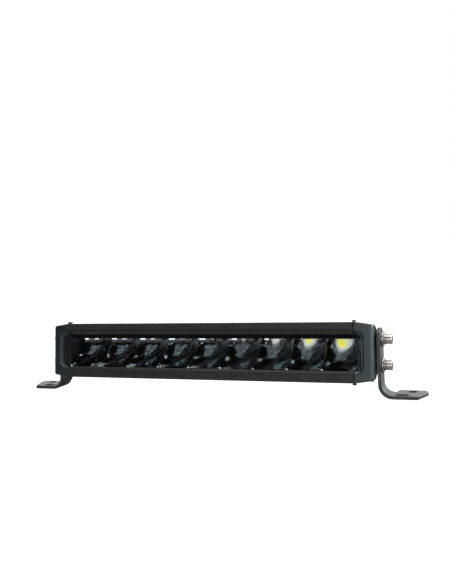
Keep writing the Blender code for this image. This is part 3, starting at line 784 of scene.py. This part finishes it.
def build_cap(side, sign):
    stations = [CAP_IN + CAP_EDGE * (1.0 - cos(radians(30.0 * k))) for k in range(4)]
    stations.append(CAP_OUT - CAP_ROUND)
    for k in range(1, 10):
        stations.append(CAP_OUT - CAP_ROUND + CAP_ROUND * sin(radians(10.0 * k)) * 0.995)
    layers = []
    for x in stations:
        layers.append([[Vector((sign * x, y, z)) for y, z in cap_section(x)]])
    cap = solid("cap_" + side, stack(bmesh.new(), layers), "cap")
    cutters = [("DIFFERENCE", cap_window(sign))]
    pocket = cap_opening(sign, GROOVE_TOP, GROOVE_BOTTOM)
    cutters.append(("DIFFERENCE", plate([pocket], THROAT_DEPTH - 0.02, GROOVE_BACK, "Y")))
    low, high = sorted((sign * (CAP_IN - 1.0), sign * CAVITY_OUT))
    inner = box_loop(GROOVE_BACK - 0.02, -18.3, REAR_WALL_IN - 0.1, THROAT_TOP)
    cutters.append(("DIFFERENCE", plate([inner], low, high, "X")))
    for z in (BOLT_HALF_SPACING, -BOLT_HALF_SPACING):
        low, high = sorted((sign * (CAVITY_OUT + 1.3), sign * (CAP_OUT + 1.0)))
        cutters.append(("DIFFERENCE", plate([circle(BOLT_Y, z, BOLT_CLEAR)], low, high, "X")))
    for y, z in CAP_SCREWS:
        low, high = sorted((sign * (CAP_IN - 1.0), sign * (CAP_OUT + 1.0)))
        cutters.append(("DIFFERENCE", plate([circle(y, z, SCREW_HOLE, 32)], low, high, "X")))
        recess = [(sign * SCREW_SEAT, 3.7), (sign * (CAP_OUT - 0.3), 3.7)]
        recess.append((sign * (CAP_OUT + 1.0), 5.0))
        cutters.append(("DIFFERENCE", lathe(recess, (y, z), "X", 40)))
    return carve(cap, cutters)


def build_gasket(side, sign):
    top = BODY_HALF_HEIGHT - 0.2
    outer = [(0.0, LIP_TOP), (0.0, top), (FRONT_DEPTH, top), (33.9, 21.3), (62.0, 21.3), (62.0, -21.3)]
    outer += [(33.9, -21.3), (FRONT_DEPTH, -top), (0.0, -top)]
    outer += [(0.0, LIP_BOTTOM), (THROAT_DEPTH, -21.3), (GROOVE_BACK, -21.3)]
    outer += [(GROOVE_BACK, -18.3), (REAR_WALL_IN, -18.3), (REAR_WALL_IN, 18.3)]
    outer += [(GROOVE_BACK, 18.3), (GROOVE_BACK, 20.7), (THROAT_DEPTH, 20.7)]
    holes = [circle(y, z, SCREW_HOLE, 24) for y, z in CAP_SCREWS]
    low, high = sorted((sign * GASKET_IN, sign * GASKET_OUT))
    gasket = solid("seal_" + side, plate([outer] + holes, low, high, "X"), "gasket")
    middle = sign * (GASKET_IN + GASKET_OUT) / 2.0
    ears = []
    for end in (1.0, -1.0):
        z0, z1 = sorted((end * (BODY_HALF_HEIGHT + 0.3), end * (BODY_HALF_HEIGHT + 1.8)))
        ear = soft_box(1.0, z0, 7.0, z1, 0.7, 5)
        ears.append(("UNION", plate([ear], middle - 1.75, middle + 1.75, "X", 0.5)))
        z0, z1 = sorted((end * (BODY_HALF_HEIGHT - 0.6), end * (BODY_HALF_HEIGHT + 1.2)))
        neck = box_loop(1.4, z0, 6.6, z1)
        ears.append(("UNION", plate([neck], middle - 0.399, middle + 0.399, "X")))
    return carve(gasket, ears)


def build_cap_screw(side, sign, number, y, z):
    """Socket screw that pulls the cap onto the housing."""
    head = SCREW_SEAT + 0.3
    profile = [(head - 26.4, 1.6), (head - 25.4, 2.0), (head, 2.0), (head, 3.2), (head + 0.2, 3.4)]
    profile += [(head + 2.1, 3.4), (head + 2.35, 3.3), (head + 2.5, 3.0)]
    bm = lathe([(sign * a, r) for a, r in profile], (y, z), "X", 40)
    screw = solid("screw_%s_%d" % (side, number), bm, "steel")
    low, high = sorted((sign * (head + 0.8), sign * (head + 3.6)))
    return carve(screw, [("DIFFERENCE", plate([circle(y, z, 2.5 / sqrt(3.0), 6)], low, high, "X"))])


# ---- brackets, pads and pivot hardware -------------------------------------------------

ARM_TOP = PIVOT_HEIGHT + 2 * BOLT_HALF_SPACING + 11.6
BEND_START = ARM_TOP - BEND_OUTER
BEND_LENGTH = (BEND_OUTER - PLATE / 2.0) * pi / 2.0
BEND_END = BEND_START + BEND_LENGTH


def foot(reach):
    """Flat-pattern distance of a point on the foot, measured from the arm's inner face."""
    return BEND_END + reach - BEND_OUTER


def arc_slot(pivot, radius, half_width, half_angle):
    """Slot that follows a circle round the pivot, in flat-pattern coordinates."""
    steps = 14
    points = []
    for k in range(steps + 1):
        angle = radians(-half_angle + 2 * half_angle * k / steps)
        points.append((pivot - (radius + half_width) * cos(angle), (radius + half_width) * sin(angle)))
    for end in (1.0, -1.0):
        middle = radians(end * half_angle)
        end_along = pivot - radius * cos(middle)
        end_across = radius * sin(middle)
        if end < 0:
            for k in range(steps + 1):
                angle = radians(half_angle - 2 * half_angle * k / steps)
                inner = radius - half_width
                points.append((pivot - inner * cos(angle), inner * sin(angle)))
        for k in range(1, 12):
            turn = middle + pi * k / 12.0
            if end > 0:
                out = (-cos(turn), sin(turn))
            else:
                out = (cos(turn), -sin(turn))
            points.append((end_along + half_width * out[0], end_across + half_width * out[1]))
    return points


def bend(point):
    """Map a flat-pattern point (along, across, through) onto the folded plate."""
    along, across, through = point
    radius = BEND_OUTER - through
    if along <= BEND_START:
        return Vector((ARM_IN + through, across, ARM_TOP - along))
    if along < BEND_END:
        angle = (along - BEND_START) / (BEND_END - BEND_START) * pi / 2.0
        x = ARM_IN + BEND_OUTER - radius * cos(angle)
        return Vector((x, across, BEND_OUTER - radius * sin(angle)))
    return Vector((ARM_IN + BEND_OUTER + along - BEND_END, across, BEND_OUTER - radius))


def build_bracket(side, sign):
    """Stamped plate folded into an arm and a foot, rims rounded by tumbling."""
    half = ARM_HALF_WIDTH
    corners = [
        (0.0, -half, 9.0),
        (foot(37.5), -half, 2.5),
        (foot(FOOT_END), 12.5, 3.0),
        (foot(42.5), FOOT_BACK, 2.5),
        (foot(16.4), FOOT_BACK, 2.0),
        (foot(15.0), half, 1.5),
        (0.0, half, 9.0),
    ]
    pivot = ARM_TOP - PIVOT_HEIGHT
    slot = soft_box(foot(15.2), -7.9, foot(28.8), -1.1, 3.39, 10)
    loops = [
        rounded(corners, 12),
        circle(pivot, 0.0, BOLT_CLEAR),
        arc_slot(pivot, 2 * BOLT_HALF_SPACING, BOLT_CLEAR, SLOT_HALF_ANGLE),
        circle(foot(30.0), 12.0, 4.2),
        slot,
    ]
    bm = plate(loops, 0.0, PLATE, "Z", 0.45, 3)
    for k in range(19):
        along = BEND_START + BEND_LENGTH * k / 18.0
        parts = list(bm.verts) + list(bm.edges) + list(bm.faces)
        bmesh.ops.bisect_plane(bm, geom=parts, plane_co=(along, 0, 0), plane_no=(1, 0, 0), dist=1e-5)
    bmesh.ops.triangulate(bm, faces=bm.faces)
    for vert in bm.verts:
        folded = bend(vert.co)
        vert.co = Vector((sign * folded.x, folded.y + PIVOT_Y, folded.z))
    return solid("plate_" + side, bm, "bracket", in_bar=False)


def split_ring(y, z, inner, outer, opening):
    """Open ring of a spring washer."""
    steps = 44
    points = []
    for radius, order in ((outer, range(steps + 1)), (inner, range(steps, -1, -1))):
        for k in order:
            angle = radians(opening / 2.0 + (360.0 - opening) * k / steps)
            points.append((y + radius * cos(angle), z + radius * sin(angle)))
    return points


def knurled(k, along, radius):
    """Straight knurl: every fourth rib of the ring stands proud."""
    return radius - (0.16 if k % 4 in (0, 3) else 0.0)


def build_bolt(tag, sign, z):
    head = ARM_IN + PLATE + 3.7
    profile = [(167.2, 2.4), (168.2, 3.0), (head, 3.0), (head, 4.7), (head + 0.25, 4.95)]
    rim = [(head + 5.5, 4.95), (head + 5.95, 4.8), (head + 6.2, 4.4)]
    plain = lathe([(sign * a, r) for a, r in profile + rim], (BOLT_Y, z), "X", 64)
    bolt = solid("bolt_head_" + tag, plain, "steel")
    ribs = [(head + 0.5, 4.9), (head + 0.6, 5.0), (head + 4.9, 5.0), (head + 5.1, 4.9)]
    collar = lathe([(sign * a, r) for a, r in ribs], (BOLT_Y, z), "X", 192, knurled)
    low, high = sorted((sign * (head + 3.0), sign * (head + 7.0)))
    drive = [(BOLT_Y + a, z + b) for a, b in circle(0.0, 0.0, 5.0 / sqrt(3.0), 6)]
    socket = plate([drive], low, high, "X")
    return carve(bolt, [("UNION", collar), ("DIFFERENCE", socket)])


def build_hardware(side, sign):
    near = BOLT_Y - 9.5
    far = BOLT_Y + 8.5
    corners = [(near, -17.5, 3.0), (far, -17.5, 3.0), (far, 17.5, 3.0), (near, 17.5, 3.0)]
    holes = [circle(BOLT_Y, z, BOLT_CLEAR) for z in (BOLT_HALF_SPACING, -BOLT_HALF_SPACING)]
    low, high = sorted((sign * (CAP_OUT + 0.3), sign * (ARM_IN - 0.3)))
    pad = solid("pad_" + side, plate([rounded(corners)] + holes, low, high, "X", 0.3), "pad")
    dress(pad, "bar", "bracket_pad_" + side)
    face = ARM_IN + PLATE
    for place, z in (("upper", BOLT_HALF_SPACING), ("lower", -BOLT_HALF_SPACING)):
        tag = "%s_%s" % (place, side)
        loops = [circle(BOLT_Y, z, 7.75, 64), circle(BOLT_Y, z, BOLT_CLEAR)]
        low, high = sorted((sign * (face + 0.3), sign * (face + 1.7)))
        flat = solid("flat_washer_" + tag, plate(loops, low, high, "X", 0.25), "steel")
        dress(flat, "bar", "washer_" + tag)
        low, high = sorted((sign * (face + 2.0), sign * (face + 3.4)))
        ring = plate([split_ring(BOLT_Y, z, 3.4, 5.4, 14.0)], low, high, "X", 0.15, 2)
        dress(solid("lock_ring_" + tag, ring, "steel"), "bar", "spring_washer_" + tag)
        dress(build_bolt(tag, sign, z), "bar", "bolt_" + tag)


for side, sign in SIDES:
    dress(build_cap(side, sign), "bar", "end_cap_" + side, 30.0)
    dress(build_gasket(side, sign), "bar", "gasket_" + side)
    for number, (y, z) in enumerate(CAP_SCREWS):
        screw = build_cap_screw(side, sign, number + 1, y, z)
        dress(screw, "bar", "cap_screw_%s_%d" % (side, number + 1))
    build_hardware(side, sign)
    dress(build_bracket(side, sign), "bracket_" + side, "bracket_" + side)

# ---- cable inlet and breather ----------------------------------------------------------

inlet = (GLAND_X, INLET_Z)


def hexagon(centre, flats):
    points = circle(*centre, flats / sqrt(3.0), 6)
    return rounded([(a, b, 0.6) for a, b in points], 4)


gland = solid("gland_body", plate([hexagon(inlet, 16.0)], 52.3, 57.0, "Y", 0.4), "gland")
bore = lathe([(40.0, 4.0), (70.0, 4.0)], inlet, "Y", 48)
carve(gland, [
    ("UNION", lathe([(44.6, 5.6), (45.0, 6.0), (56.0, 6.0)], inlet, "Y", 64)),
    ("UNION", lathe([(56.0, 6.6), (61.7, 6.6), (62.0, 6.3)], inlet, "Y", 64)),
    ("DIFFERENCE", bore),
])
dress(gland, "bar", "cable_gland")


def ribbed(k, along, radius):
    """Grip flutes on the dome nut, below its rounded end."""
    return radius - (0.35 if k % 8 in (0, 1, 2) and along < 64.8 else 0.0)


dome = [(57.3, 7.9), (57.6, 8.2), (64.4, 8.2), (65.2, 7.8), (66.4, 7.1), (67.2, 6.3), (67.6, 5.6)]
nut = solid("gland_dome_nut", lathe(dome, inlet, "Y", 128, ribbed), "gland")
carve(nut, [
    ("DIFFERENCE", lathe([(50.0, 6.9), (62.3, 6.9)], inlet, "Y", 64)),
    ("DIFFERENCE", lathe([(50.0, 4.0), (66.6, 4.0), (70.0, 6.4)], inlet, "Y", 64)),
])
dress(nut, "bar", "gland_nut")
lock = plate([hexagon(inlet, 15.0), circle(*inlet, 6.3)], 46.0, 49.2, "Y", 0.3)
dress(solid("gland_lock_ring", lock, "gland"), "bar", "gland_locknut")

breather = (VENT_X, INLET_Z)
vent = solid("vent_plug", plate([hexagon(breather, 12.0)], 52.3, 56.0, "Y", 0.4), "gland")
button = [(55.0, 5.2), (57.3, 5.2), (57.9, 5.0), (58.3, 4.6), (58.4, 4.2)]
carve(vent, [
    ("UNION", lathe([(46.2, 2.7), (46.6, 3.0), (55.0, 3.0)], breather, "Y", 40)),
    ("UNION", lathe(button, breather, "Y", 48)),
])
dress(vent, "bar", "breather_vent")

# ---- CAD nodes that stay: the sealed driver ---------------------------------------------

KEPT = {
    "driver_board": "green_board",
    "driver_inductor": "ferrite",
    "driver_capacitor_1": "can",
    "driver_capacitor_2": "can",
    "driver_connector": "connector",
}
for node, look in KEPT.items():
    kept = frame["nodes"][node]
    kept.data.materials.clear()
    kept.data.materials.append(LOOKS[look])
    soften = kept.modifiers.new("soften", "BEVEL")
    soften.width = 0.0003
    soften.segments = 2
    soften.limit_method = "ANGLE"

# ---- studio ------------------------------------------------------------------------------

floor_mesh = bmesh.new()
bmesh.ops.create_grid(floor_mesh, x_segments=2, y_segments=2, size=12.0)
floor_data = bpy.data.meshes.new("floor")
floor_mesh.to_mesh(floor_data)
floor_mesh.free()
floor = bpy.data.objects.new("floor", floor_data)
floor.location = (0.0, 0.0, -0.0003)
bpy.context.scene.collection.objects.link(floor)
paper = Look("paper", Specular_IOR_Level=0.1)
grain = paper.tint(paper.noise(900.0, 2.0), (0.30, 0.30, 0.30), (0.34, 0.34, 0.34))
paper.wear(grain)
paper.shader.inputs["Roughness"].default_value = 0.9
paper.shader.inputs["Emission Color"].default_value = (1.0, 1.0, 1.0, 1.0)
seen = paper.node("ShaderNodeLightPath").outputs["Is Camera Ray"]
paper.link(paper.spread(seen, 0.0, 0.96, 0.0, 1.0), paper.shader.inputs["Emission Strength"])
floor_data.materials.append(paper.mat)


def softbox(name, place, aim, width, height, power, colour=(1.0, 1.0, 1.0)):
    data = bpy.data.lights.new(name, "AREA")
    data.shape = "RECTANGLE"
    data.size = width
    data.size_y = height
    data.energy = power
    data.color = colour
    lamp = bpy.data.objects.new(name, data)
    lamp.location = place
    lamp.rotation_euler = (Vector(aim) - Vector(place)).to_track_quat("-Z", "Y").to_euler()
    bpy.context.scene.collection.objects.link(lamp)


softbox("overhead", (0.1, -0.25, 1.6), (0.1, -0.25, 0.0), 1.8, 1.4, 20.0, (1.0, 0.96, 0.90))
softbox("side", (1.2, 1.0, 0.4), (0.1, 0.0, 0.05), 0.7, 0.9, 15.0, (0.96, 0.98, 1.0))
softbox("front", (0.42, -1.5, 0.25), (0.3, 0.0, 0.1), 0.8, 0.6, 5.5, (0.93, 0.98, 1.0))
softbox("key", (0.9, -1.6, 1.1), (0.0, 0.0, 0.05), 0.2, 0.2, 7.0)
softbox("right", (1.5, -0.75, 0.25), (0.0, 0.0, 0.05), 0.5, 0.8, 9.0, (0.96, 0.98, 1.0))

world = bpy.data.worlds.new("studio")
bpy.context.scene.world = world
world.use_nodes = True
tree = world.node_tree
background = tree.nodes["Background"]
ray = tree.nodes.new("ShaderNodeLightPath")
place = tree.nodes.new("ShaderNodeTexCoord")
split = tree.nodes.new("ShaderNodeSeparateXYZ")
tree.links.new(place.outputs["Generated"], split.inputs["Vector"])
depth = tree.nodes.new("ShaderNodeMapRange")
depth.inputs["From Min"].default_value = -0.45
depth.inputs["From Max"].default_value = 0.6
depth.inputs["To Min"].default_value = 0.012
depth.inputs["To Max"].default_value = 1.0
tree.links.new(split.outputs["Y"], depth.inputs["Value"])
choose = tree.nodes.new("ShaderNodeMix")
tree.links.new(ray.outputs["Is Camera Ray"], choose.inputs["Factor"])
tree.links.new(depth.outputs["Result"], choose.inputs["A"])
choose.inputs["B"].default_value = 1.0
tree.links.new(choose.outputs["Result"], background.inputs["Strength"])
background.inputs["Color"].default_value = (1.0, 1.0, 1.0, 1.0)

bpy.context.scene.view_settings.view_transform = "Standard"

# ---- camera ------------------------------------------------------------------------------

yaw, pitch, roll = radians(21.331), radians(-3.877), radians(-2.822)
forward = Vector((-sin(yaw) * cos(pitch), cos(yaw) * cos(pitch), sin(pitch)))
right = Vector((cos(yaw), sin(yaw), 0.0))
up = right.cross(forward)
side_axis = right * cos(roll) + up * sin(roll)
top_axis = up * cos(roll) - right * sin(roll)
camera_data = bpy.data.cameras.new("camera")
camera_data.lens = 45.199
camera_data.sensor_width = 36.0
camera_data.clip_start = 0.01
camera_data.clip_end = 100.0
camera = bpy.data.objects.new("camera", camera_data)
turn = Matrix((side_axis, top_axis, -forward)).transposed().to_4x4()
camera.matrix_world = Matrix.Translation((0.302716, -0.723956, 0.159303)) @ turn
bpy.context.scene.collection.objects.link(camera)
bpy.context.scene.camera = camera
